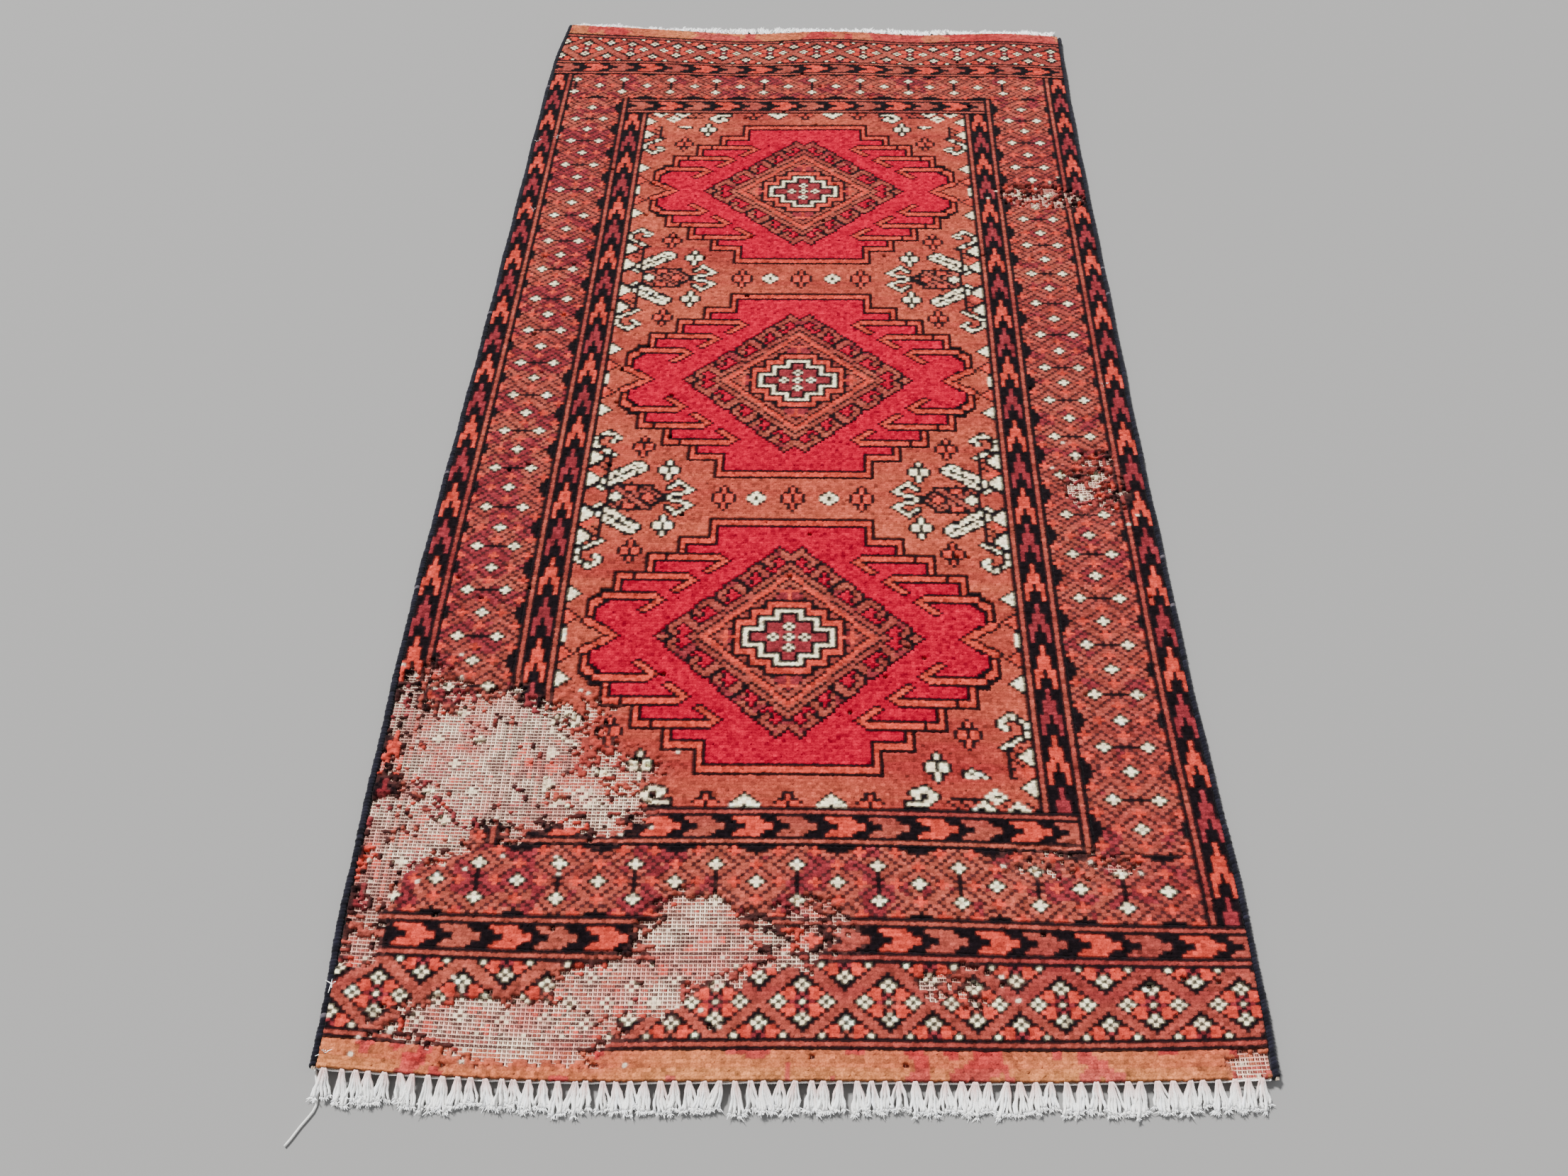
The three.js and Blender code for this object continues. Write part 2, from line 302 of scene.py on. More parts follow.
# Fillers between the medallions' steps and the field's edge
motif(v, 35, 45, PETALS, W)
motif(v, 43.4, 34, PETALS, O)
side_hook = [(51, 38), (57, 33.5), (56.5, 29.5), (53.5, 27), (50.5, 30), (52, 31.5)]
stroke(v, side_hook, 0.5, W, 0.9)
fill(field & (distance(v, side_hook) <= 0.6) & ((row + 2 * column) % 4 == 0), K)
side_leaf = [(51.3, 54), (43, 47.5)]
stroke(v, side_leaf, 1.7, W, 0.9, near_medallion)
fill(near_medallion & field & (distance(v, side_leaf) <= 1.6) & ((2 * row + column) % 5 == 0), K)
lattice = near_medallion & (u >= 53) & (v >= 38) & (v <= 55)
fill(field & lattice & ((row + column) % 3 == 0), K)
fill(field & near_medallion & (u == 52) & (v >= 38) & (v <= 55), K)
for at in (41, 51):
    fill(field & (np.abs(u - 57.5) + np.abs(v - at) <= 3.5), K)
    fill(field & (np.abs(u - 57.5) + np.abs(v - at) <= 2.5), W)
fill(field & (np.abs(u - 56) + np.abs(v - 46) <= 2), O)
for at, code in ((0, W), (16, W), (7, O)):
    fill(field & (np.abs(u - 57.5) + np.abs(v - at) <= 3.5), K)
    fill(field & (np.abs(u - 57.5) + np.abs(v - at) <= 2.6), code)

# Medallions
rim = (u <= 22) & (v <= 48) | (u <= 30) & (v <= 40) | (u <= 38) & (v <= 33) | (u <= 46) & (v <= 25)
rim |= (u <= 52) & (v <= 14) | (v >= 14) & (v <= 18) & (u <= 49 + 0.8 * (18 - v))
rim &= field
fill(rim, K)
fill(shrink(rim, 1, 1), O)
fill(shrink(rim, 2, 3), K)
inside_rim = shrink(rim, 3, 4)
fill(inside_rim, C)
for at_u, at_v in ((30.5, 33.0), (38.5, 25.0), (46.5, 17.0)):
    arm = [(at_u + 1, at_v - 1.5), (at_u - 11, at_v - 1.5), (at_u - 13, at_v - 3), (at_u - 9, at_v - 7)]
    stroke(v, arm, 0.8, O, 0.9, shrink(rim, 1, 1))
notch = field & (v < 5) & (u > 47 + 1.3 * v)
fill(notch & (u <= 56), F)
stroke(v, [(51.5, 5.5), (44.5, 0)], 0.9, O, 0.9)
rim &= ~notch

# Hooked centres
p, q = np.round(1.15 * u + v), 1.15 * u - v
body = field & (p <= 30)
hooks = np.zeros(chart.shape, bool)
for step in range(6):
    at = -31.0 + 13.6 * step
    hooks |= (np.abs(q - at) <= 1.5) & (p > 30) & (p <= 38)
    hooks |= (p >= 37) & (p <= 38) & (q >= at - 1.5) & (q <= at + 9.5)
    hooks |= (p >= 34) & (p <= 38) & (q >= at + 7.4) & (q <= at + 9.6)
hooks &= field & (p < 44)
grown = hooks.copy()
for axis in (0, 1):
    for way in (-1, 1):
        grown |= np.roll(hooks, way, axis)
fill(grown & (p > 30) & inside_rim, K)
fill(hooks, B)
fill(hooks & (drift(chart.shape, 4, 23) > 0.5), M)
for reach, code in ((30, K), (29, B), (27, K), (26, B), (25, O), (23, K), (22, B), (20, K), (19, M)):
    fill(body & (p <= reach), code)

# Stepped crosses
cross = field & ((u <= 6) & (v <= 14) | (u <= 10) & (v <= 11) | (u <= 14) & (v <= 7))
fill(cross, K)
for in_u, in_v, code in ((1, 1, O), (2, 3, K), (3, 4, W), (4, 5, K), (5, 6, M)):
    fill(shrink(cross, in_u, in_v), code)
for at_u, at_v in ((0, 0), (4, 0), (0, 4)):
    apart = np.maximum(np.abs(u - at_u), np.abs(v - at_v))
    fill(field & (apart <= 1) & ((u - at_u + v - at_v) % 2 == 0), K)
    fill(field & (apart <= 1) & ((u - at_u + v - at_v) % 2 == 1), W)
fill(field & (u <= 0) & (v >= 15) & (v <= 18), O)
fill(field & (u <= 2) & (v == 18), O)
fill(field & (v <= 0) & (u >= 14) & (u <= 17), O)
fill(field & (v <= 2) & (u == 16), O)

# Gaps between medallions
motif(gap, 0, 0, PETALS[:5] + PETALS[6:], O)
motif(gap, 9.7, 0, SMALL, W)
motif(gap, 19.3, 0, PETALS[:5] + PETALS[6:], O)
double_hook = [(34.2, 3.9), (31.7, 6.7), (28.3, 3.1), (31, 1.1), (34.4, 0.3)]
stroke(gap, double_hook, 0.5, W, 0.9)
fan = field & (u >= 35) & (u <= 51.5) & (gap <= np.minimum(5, (u - 35) * 1.25))
fill(fan, K)
fill(shrink(fan, 1, 1), B)
fill(shrink(fan, 1, 1) & ((row + column) % 3 == 0), K)
for at_u, at_v, code in ((49, 0, W), (40.4, 0, O), (44.7, 3.5, O), (53, 3.6, W)):
    apart = np.abs(np.round(u - at_u)) + np.abs(np.round(gap - at_v))
    fill(field & (apart <= 2), K)
    fill(field & (apart <= 1), code)
leaf = [(51.5, 6.8), (44, 13)]
stroke(gap, leaf, 2.3, W, 0.9)
fill(field & (distance(gap, leaf) <= 2.3) & ((2 * row + column) % 5 == 0), K)
fill(field & (distance(gap, leaf) <= 0.5), K)
fill(field & (u == 52) & (gap >= 5) & (gap <= 18), K)
for at in (7.5, 17.5):
    apart = np.abs(u - 57.5) + np.abs(gap - at)
    fill(field & (apart <= 4), K)
    fill(field & (apart <= 3), W)

# Ends of the field
motif(end, 0, 2, TREFOIL, O)
motif(end, 9.8, 2, CREAM_TREFOIL, W)
motif(end, 19.3, 2, TREFOIL, O)
stroke(end, [(28, 1), (31.5, 1), (34, 3.5), (31.5, 6), (29, 4.5), (30, 3)], 0.62, W, 0.9)
fill(field & (end <= 2) & (u >= 37) & ((row + column) % 3 == 0), K)
fill(field & (end == 3) & (u >= 38) & (u <= 51), K)
for at_u, at_v in ((44.8, 0), (52.6, 0), (48.4, 4)):
    apart = np.abs(u - at_u) + np.abs(end - at_v)
    fill(field & (apart <= 2.5), W)
    fill(field & (apart < 1), K)


# ---- Wear: where the pile is gone down to the woven cloth ----
across_mm, along_mm = (column + 0.5) * 3.32, (row + 0.5) * 2.63
ragged = (
    0.55 * drift(chart.shape, 7, 31) + 0.40 * drift(chart.shape, 2.5, 32)
    + 0.62 * seeded.uniform(-1, 1, chart.shape)
)
worn_patches = (
    # across, along, half width, half length, depth, raggedness
    (88, 228, 108, 66, 1.05, 0.62), (30, 262, 45, 52, 0.55, 0.65), (165, 205, 62, 40, 0.75, 0.60),
    (258, 88, 46, 36, 1.00, 0.60), (205, 58, 62, 24, 0.90, 0.60), (128, 30, 92, 26, 1.00, 0.60),
    (12, 112, 24, 46, 0.75, 0.70), (40, 175, 50, 40, 0.70, 0.65), (628, 8, 22, 12, 1.00, 0.55),
    (598, 515, 30, 44, 0.30, 0.70), (590, 942, 46, 22, 0.36, 0.80), (330, 95, 40, 26, 0.35, 0.60),
    (450, 60, 40, 14, 0.15, 0.60), (520, 150, 60, 14, 0.15, 0.60),
)
wear = np.full(chart.shape, -9.0)
for x0, y0, rx, ry, depth, rough in worn_patches:
    reach = 1 - np.hypot((across_mm - x0) / rx, (along_mm - y0) / ry)
    wear = np.maximum(wear, np.minimum(reach * 2.0, depth) - 0.42 + rough * ragged)
specks = (seeded.uniform(0, 1, chart.shape) > 0.9990) & (mirror_row > 2) & (mirror_row < 489)
bare_area = wear > 0
clumps = (
    0.45 * drift(chart.shape, 2.2, 33) + 0.35 * drift(chart.shape, 4.5, 34, 0.3)
    + 0.45 * seeded.uniform(-1, 1, chart.shape)
)
hard_wearing = np.select([chart == K, chart == W, chart == C], [0.42, 0.35, 0.10], 0.0)
clumps = clumps + 0.35 * drift(chart.shape, 10, 35) + hard_wearing
stubs = bare_area & (clumps - 0.30 * smooth(wear, 0.1, 0.7) > -0.20)
worn = bare_area | specks
short = smooth(-wear, 0.0, 0.55)
height = np.where(worn, 0.08, 0.40 + 0.60 * short)


# ---- Colour of each knot, with the dye's drift from row to row and painted sheen on the far crimson ----
WOOL_DEPTH = 0.60
tone = PALETTE[chart] * np.where(chart == W, 1.0, WOOL_DEPTH)[..., None]
rows_drift = np.repeat(drift((ROWS, 1), 5, 41) * 0.6 + drift((ROWS, 1), 1.5, 42) * 0.4, COLUMNS, 1)
patches_drift = drift(chart.shape, 26, 43)
warm = np.clip(0.5 + 0.40 * rows_drift + 0.45 * patches_drift, 0, 1)[..., None]
pale_and_deep = (
    (F, (206, 94, 70), (168, 52, 50)), (B, (190, 90, 72), (156, 58, 56)),
    (T, (224, 138, 84), (204, 98, 68)), (R, (214, 96, 84), (190, 52, 52)),
)
for code, pale, deep in pale_and_deep:
    blend = linear(*deep) * (1 - warm) + linear(*pale) * warm
    tone = np.where((chart == code)[..., None], blend * WOOL_DEPTH, tone)
nap = seeded.normal(0, 1, chart.shape).clip(-2, 2)
nap = nap + 0.8 * np.roll(seeded.normal(0, 1, chart.shape).clip(-2, 2), 1, 0)
# painted sheen: crimson knots are made up to 12% lighter towards the far end
tone = tone * ((1 + 0.19 * nap) * (1 + 0.12 * smooth(row, 150, 300) * (chart == C)))[..., None]
faded = (0.12 * (1 - short) * (chart != C))[..., None]
tone = np.clip(tone * (1 - faded) + linear(172, 100, 90) * faded, 0, 1)
thread = linear(246, 220, 192)
stain = np.clip(0.35 + 0.5 * drift(chart.shape, 7, 44) + 0.25 * drift(chart.shape, 2, 45), 0, 0.85)[..., None]
threads = thread * (1 - stain) + linear(204, 116, 106) * stain
bare = 0.50 * tone + 0.50 * linear(128, 40, 46)
ticks = (seeded.uniform(0, 1, chart.shape) > 0.994) & (wear > -1.3)
tone = np.where(ticks[..., None], 0.75 * thread, tone)


# ---- Meshes from vertex grids ----
def make_mesh(name, points, quads, corner_colours, slot_name):
    """points (n,3) as they lie, quads (m,4), corner_colours (m,4,3)."""
    mesh = bpy.data.meshes.new(name)
    mesh.vertices.add(len(points))
    mesh.vertices.foreach_set("co", points.astype(np.float32).ravel())
    mesh.loops.add(quads.size)
    mesh.loops.foreach_set("vertex_index", quads.astype(np.int32).ravel())
    mesh.polygons.add(len(quads))
    mesh.polygons.foreach_set("loop_start", np.arange(0, quads.size, 4, dtype=np.int32))
    mesh.polygons.foreach_set("use_smooth", np.full(len(quads), True))
    mesh.update(calc_edges=True)
    colours = np.ones((quads.size, 4), np.float32)
    colours[:, :3] = corner_colours.reshape(-1, 3)
    layer = mesh.color_attributes.new("yarn", "FLOAT_COLOR", "CORNER")
    layer.data.foreach_set("color", colours.ravel())
    piece = bpy.data.objects.new(name, mesh)
    bpy.context.scene.collection.objects.link(piece)
    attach(piece, "root")
    mesh.materials.append(wool_materials[slot_name])
    return piece


def compact(points, quads):
    used, quads = np.unique(quads, return_inverse=True)
    return points[used], quads.reshape(-1, 4)


def fibre_material(slot_name, grain, contrast, sheen, roughness):
    """Spun yarn: colour from the knots, broken by fine fibres."""
    material = bpy.data.materials.new(slot_name)
    material.use_nodes = True
    nodes, links = material.node_tree.nodes, material.node_tree.links
    shader = nodes["Principled BSDF"]
    shader.inputs["Roughness"].default_value = roughness
    shader.inputs["Sheen Weight"].default_value = sheen
    shader.inputs["Sheen Roughness"].default_value = 0.6
    shader.inputs["Specular IOR Level"].default_value = 0.0
    yarn = nodes.new("ShaderNodeVertexColor")
    yarn.layer_name = "yarn"
    place = nodes.new("ShaderNodeTexCoord")
    noise = nodes.new("ShaderNodeTexNoise")
    noise.inputs["Scale"].default_value = grain
    noise.inputs["Detail"].default_value = 3.0
    fibres = nodes.new("ShaderNodeMapRange")
    fibres.inputs["From Min"].default_value = 0.3
    fibres.inputs["From Max"].default_value = 0.7
    fibres.inputs["To Min"].default_value = 1.0 - contrast
    fibres.inputs["To Max"].default_value = 1.0 + contrast
    scaled = nodes.new("ShaderNodeVectorMath")
    scaled.operation = "SCALE"
    bump = nodes.new("ShaderNodeBump")
    bump.inputs["Strength"].default_value = 0.5
    bump.inputs["Distance"].default_value = 0.0006
    links.new(place.outputs["Object"], noise.inputs["Vector"])
    links.new(noise.outputs["Fac"], fibres.inputs["Value"])
    links.new(yarn.outputs["Color"], scaled.inputs[0])
    links.new(fibres.outputs["Result"], scaled.inputs["Scale"])
    links.new(scaled.outputs["Vector"], shader.inputs["Base Color"])
    links.new(noise.outputs["Fac"], bump.inputs["Height"])
    links.new(bump.outputs["Normal"], shader.inputs["Normal"])
    return material


wool_materials = {
    "skirt_wool": fibre_material("skirt_wool", 900, 0.28, 0.05, 0.95),
    "panel_wool": fibre_material("panel_wool", 1000, 0.24, 0.03, 0.95),
    "guard_wool": fibre_material("guard_wool", 1000, 0.24, 0.03, 0.95),
    "border_wool": fibre_material("border_wool", 1000, 0.24, 0.03, 0.95),
    "field_wool": fibre_material("field_wool", 900, 0.24, 0.04, 0.95),
    "crimson_wool": fibre_material("crimson_wool", 900, 0.22, 0.02, 0.95),
    "hooked_centre_wool": fibre_material("hooked_centre_wool", 1000, 0.24, 0.03, 0.95),
    "navy_wool": fibre_material("navy_wool", 1200, 0.30, 0.08, 0.9),
    "cotton_cloth": fibre_material("cotton_cloth", 1400, 0.16, 0.03, 0.9),
    "cotton_yarn": fibre_material("cotton_yarn", 1500, 0.06, 0.25, 0.85),
}

# ---- The pile: every knot a small tuft of 2 by 2 faces ----
half_rows, half_columns = 2 * ROWS + 1, 2 * COLUMNS + 1
j, i = np.mgrid[0:half_rows, 0:half_columns]
padded_height = np.pad(height, 1, mode="edge")
rows_a, rows_b = (j + 1) // 2, j // 2 + 1
columns_a, columns_b = (i + 1) // 2, i // 2 + 1
mixed = (
    padded_height[rows_a, columns_a] + padded_height[rows_a, columns_b]
    + padded_height[rows_b, columns_a] + padded_height[rows_b, columns_b]
) / 4
mixed_tone = (
    tone[np.clip(rows_a - 1, 0, ROWS - 1), np.clip(columns_a - 1, 0, COLUMNS - 1)]
    + tone[np.clip(rows_a - 1, 0, ROWS - 1), np.clip(columns_b - 1, 0, COLUMNS - 1)]
    + tone[np.clip(rows_b - 1, 0, ROWS - 1), np.clip(columns_a - 1, 0, COLUMNS - 1)]
    + tone[np.clip(rows_b - 1, 0, ROWS - 1), np.clip(columns_b - 1, 0, COLUMNS - 1)]
) / 4
dome = 0.00035 * (i % 2) + 0.00055 * (j % 2) - 0.00060
pile_x = i * ACROSS / 2 - HALF_WIDTH + seeded.normal(0, 0.00028, i.shape)
pile_y = j * ALONG / 2 - HALF_LENGTH + seeded.normal(0, 0.00024, i.shape)
pile_z = CLOTH_TOP + (PILE_TOP - CLOTH_TOP) * mixed + dome + seeded.normal(0, 0.00028, i.shape)
pile_z = np.maximum(pile_z, CLOTH_TOP + 0.0001)
inside_edge = (i > 0) & (i < half_columns - 1)
pile_x = np.where(inside_edge, pile_x, i * ACROSS / 2 - HALF_WIDTH)
top_points = np.stack(laid(pile_x, pile_y, pile_z), -1).reshape(-1, 3)
low_points = np.stack(laid(pile_x, pile_y, np.full(i.shape, CLOTH_TOP - 0.0002)), -1).reshape(-1, 3)
all_points = np.concatenate([top_points, low_points])
low_start = half_rows * half_columns


def vertex(jj, ii):
    return jj * half_columns + ii


def face_corners(at, jj, ii):
    """The four corners of a face, by a vertex numbering."""
    return [at(jj, ii), at(jj, ii + 1), at(jj + 1, ii + 1), at(jj + 1, ii)]


def pile_piece(node, slot_name, area):
    there = area & ~worn
    r, c = np.nonzero(there)
    quads, colours = [], []
    for a in (0, 1):
        for b in (0, 1):
            jj, ii = 2 * r + a, 2 * c + b
            quads.append(np.stack(face_corners(vertex, jj, ii), 1))
            shade = 1.06 + seeded.normal(0, 0.15, (len(r), 4, 1))
            # painted shade: corners on a knot's row edges are darkened to 0.82 and on its column edges to
            # 0.94, for the gaps between tufts; the random spread above is yarn tone
            for corner, (up, along) in enumerate(((a, b), (a, b + 1), (a + 1, b + 1), (a + 1, b))):
                shade[:, corner] *= (0.82 if up != 1 else 1.0) * (0.94 if along != 1 else 1.0)
            meeting = np.stack(face_corners(lambda y, x: mixed_tone[y, x], jj, ii), 1)
            colours.append((0.62 * tone[r, c][:, None, :] + 0.38 * meeting) * shade)
    padded = np.pad(there, 1)
    sides = (
        (padded[:-2, 1:-1], 0, 0, 0, 1), (padded[2:, 1:-1], 2, 2, 2, -1),
        (padded[1:-1, :-2], 2, 0, -1, 0), (padded[1:-1, 2:], 0, 2, 1, 0),
    )
    for neighbour, start_j, start_i, step_j, step_i in sides:
        if step_i:
            start_i = 0 if step_i > 0 else 2
            step_j = 0
        open_r, open_c = np.nonzero(there & ~neighbour)
        for half in (0, 1):
            ja, ia = 2 * open_r + start_j + half * step_j, 2 * open_c + start_i + half * step_i
            jb, ib = ja + step_j, ia + step_i
            upper_b, upper_a = vertex(jb, ib), vertex(ja, ia)
            quads.append(np.stack([upper_b, upper_a, upper_a + low_start, upper_b + low_start], 1))
            colours.append(np.repeat(tone[open_r, open_c][:, None, :] * 0.8, 4, 1))
    points, quads = compact(all_points, np.concatenate(quads))
    piece = make_mesh(node.replace("_pile", "_tufts"), points, quads, np.concatenate(colours), slot_name)
    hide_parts(node)
    return piece


def between(rows, columns):
    return (row >= rows[0]) & (row < rows[1]) & (column >= columns[0]) & (column < columns[1])


# Area, wool, rows and columns of the bands at the near end and the left side
END_BANDS = (
    ("skirt", "skirt_wool", (0, 7), (0, 193)), ("end_panel", "panel_wool", (7, 31), (0, 193)),
    ("outer_guard", "guard_wool", (31, 40), (0, 193)), ("main_border", "border_wool", (40, 60), (8, 185)),
    ("inner_guard", "guard_wool", (60, 72), (28, 165)),
)
SIDE_BANDS = (
    ("outer_guard", "guard_wool", (40, 450), (0, 8)), ("main_border", "border_wool", (60, 430), (8, 28)),
    ("inner_guard", "guard_wool", (72, 418), (28, 39)),
)
for end_name in ("near", "far"):
    for band_name, wool, rows, columns in END_BANDS:
        rows = rows if end_name == "near" else (ROWS - rows[1], ROWS - rows[0])
        pile_piece(f"{band_name}_pile_{end_name}", wool, between(rows, columns))
for side_name in ("left", "right"):
    for band_name, wool, rows, columns in SIDE_BANDS:
        columns = columns if side_name == "left" else (COLUMNS - columns[1], COLUMNS - columns[0])
        pile_piece(f"{band_name}_pile_{side_name}", wool, between(rows, columns))
centre_area = field & (body | grown) & (p < 42) & (v < 57)
for place_name, middle in zip(("near", "middle", "far"), MEDALLIONS):
    here = np.abs(row - middle) <= 57
    pile_piece(f"medallion_centre_pile_{place_name}", "hooked_centre_wool", centre_area & here)
    pile_piece(f"medallion_pile_{place_name}", "crimson_wool", rim & ~centre_area & here)
pile_piece("field_ground_pile", "field_wool", field & ~rim)


# ---- The cloth under the pile: woven where it is bare, knot backs below ----
fine_across, fine_along = 6, 4
wide = fine_across * COLUMNS + 1
open_knots = ~shrink(~np.pad(worn, 2), 1, 1)[2:-2, 2:-2]
jf, jc = np.mgrid[0:fine_along * ROWS + 1, 0:wide]
over = (jc // 3 + jf // 4) % 2
weft = np.where(jf % 4 <= 1, 0.00070, 0.0)
warp = np.where(jc % 6 == 2, 0.00065, np.where(jc % 3 != 0, 0.00035, 0.0)) * (0.6 + 0.4 * over)
stub_here = stubs[np.clip(jf // 4, 0, ROWS - 1), np.clip(jc // 6, 0, COLUMNS - 1)]
stub_rise = stub_here * np.where(jf % 4 >= 2, 0.00055, 0.0)
weave_z = CLOTH_TOP - 0.0004 + np.maximum(weft, warp) + stub_rise + seeded.normal(0, 0.00006, jf.shape)
flat_x = jc * ACROSS / fine_across - HALF_WIDTH + seeded.normal(0, 0.00005, jf.shape)
flat_y = jf * ALONG / fine_along - HALF_LENGTH + seeded.normal(0, 0.00005, jf.shape)
flat_x = np.clip(flat_x, -HALF_WIDTH, HALF_WIDTH)
flat_y = np.clip(flat_y, -HALF_LENGTH, HALF_LENGTH)
weave_points = np.stack(laid(flat_x, flat_y, weave_z), -1).reshape(-1, 3)
back_z = np.maximum(0.00012 * (jc // 6 % 2), 0.0)
back_points = np.stack(laid(flat_x, flat_y, back_z), -1).reshape(-1, 3)
weave_count = len(weave_points)


def cloth_vertex(jj, ii):
    return jj * wide + ii


quads, colours = [], []
r, c = np.nonzero(open_knots)
for a in range(fine_along):
    for b in range(fine_across):
        jj, ii = fine_along * r + a, fine_across * c + b
        quads.append(np.stack(face_corners(cloth_vertex, jj, ii), 1))
        left = (stubs[r, c] * seeded.uniform(0.45, 1.0, len(r)) * (1.0 if a != 0 else 0.3))[:, None]
        # painted shade in the weave's low gaps (b == 0, and b == 3 below the weft): there the worn wool's
        # colour is darkened to 0.14, and stubs are darkened to 0.62
        if a == 0:
            shade = threads[r, c] * (1.08 if b % 3 else 0.88)
        elif b == 0 or (b == 3 and a > 1):
            shade = bare[r, c] * 0.14
        elif b in (1, 2):
            shade = 0.88 * threads[r, c] + 0.12 * bare[r, c]
        else:
            shade = 0.26 * threads[r, c] + 0.40 * bare[r, c]
        shade = shade * (1 - left) + tone[r, c] * left * (0.62 if b == 0 else 0.92)
        shade = np.broadcast_to(shade, (len(r), 3))[:, None, :] * (1 + seeded.normal(0, 0.12, (len(r), 4, 1)))
        colours.append(shade)
r, c = np.nonzero(~open_knots)
corners = ((0, 0), (0, 1), (1, 1), (1, 0))
quads.append(np.stack([cloth_vertex(fine_along * (r + a), fine_across * (c + b)) for a, b in corners], 1))
colours.append(np.repeat(tone[r, c][:, None, :] * 0.5, 4, 1))
r, c = np.nonzero(np.ones(chart.shape, bool))
backs = [cloth_vertex(fine_along * (r + a), fine_across * (c + b)) for b, a in corners]
quads.append(np.stack(backs, 1) + weave_count)
colours.append(np.repeat((0.75 * tone[r, c] + 0.25 * linear(190, 140, 125))[:, None, :], 4, 1))
rim_line = (
    [(0, fine_across * n) for n in range(COLUMNS + 1)]
    + [(fine_along * n, wide - 1) for n in range(1, ROWS + 1)]
    + [(fine_along * ROWS, fine_across * n) for n in range(COLUMNS - 1, -1, -1)]
    + [(fine_along * n, 0) for n in range(ROWS - 1, 0, -1)]
)
rim_line = np.array([cloth_vertex(a, b) for a, b in rim_line])
after = np.roll(rim_line, -1)
quads.append(np.stack([rim_line + weave_count, after + weave_count, after, rim_line], 1))
colours.append(np.broadcast_to(thread * 0.8, (len(rim_line), 4, 3)))
points, quads = compact(np.concatenate([weave_points, back_points]), np.concatenate(quads))
cloth = make_mesh("woven_cloth", points, quads, np.concatenate(colours), "cotton_cloth")
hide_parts("foundation_cloth")


# ---- Round yarns ----
def tube(centres, radii, sides, colours, twist=0.0, lobes=0, lobe_depth=0.0):
    """Points, quads and corner colours of a closed tube along flat centres, laid after."""
    centres = np.asarray(centres, float)
    ahead = np.gradient(centres, axis=0)
    ahead /= np.linalg.norm(ahead, axis=1)[:, None]
    side = np.cross(ahead, (0.0, 0.0, 1.0))
    side /= np.maximum(np.linalg.norm(side, axis=1)[:, None], 1e-9)
    up = np.cross(side, ahead)
    angle = np.arange(sides) * 2 * math.pi / sides
    turn = angle[None, :] + twist * np.arange(len(centres))[:, None]
    radius = np.asarray(radii)[:, None] * (1 + lobe_depth * np.cos(lobes * turn))
    around = angle[None, :] + 0 * turn
    points = (
        centres[:, None, :]
        + side[:, None, :] * (radius * np.cos(around))[..., None]
        + up[:, None, :] * (radius * np.sin(around))[..., None]
    )
    rings = len(centres)
    a, b = np.mgrid[0:rings - 1, 0:sides]
    after = (b + 1) % sides
    quads = np.stack([a * sides + b, a * sides + after, (a + 1) * sides + after, (a + 1) * sides + b], -1)
    quads = quads.reshape(-1, 4)
    colours = np.asarray(colours)
    shade = np.repeat(np.stack([colours[:-1], colours[:-1], colours[1:], colours[1:]], 1)[:, None], sides, 1)
    cap_points = centres[[0, -1]]
    start, stop = rings * sides, rings * sides + 1
    caps = []
    for n in range(0, sides, 2):
        caps.append([(n + 2) % sides, (n + 1) % sides, n, start])
        last = (rings - 1) * sides
        caps.append([last + n, last + (n + 1) % sides, last + (n + 2) % sides, stop])
    cap_colours = np.stack([np.repeat(colours[[0 if n % 2 == 0 else -1]], 4, 0) for n in range(len(caps))])
    return (
        np.concatenate([points.reshape(-1, 3), cap_points]),
        np.concatenate([quads, np.array(caps)]),
        np.concatenate([shade.reshape(-1, 4, 3), cap_colours]),
    )


class Bundle:
    """Several tubes and blades gathered into one mesh."""

    def __init__(self):
        self.points, self.quads, self.colours, self.count = [], [], [], 0

    def add(self, points, quads, colours):
        self.points.append(points)
        self.quads.append(quads + self.count)
        self.colours.append(colours)
        self.count += len(points)

    def build(self, name, slot_name):
        points = np.concatenate(self.points)
        points = np.stack(laid(points[:, 0], points[:, 1], points[:, 2]), -1)
        points[:, 2] = np.maximum(points[:, 2], 0.0001)
        return make_mesh(name, points, np.concatenate(self.quads), np.concatenate(self.colours), slot_name)


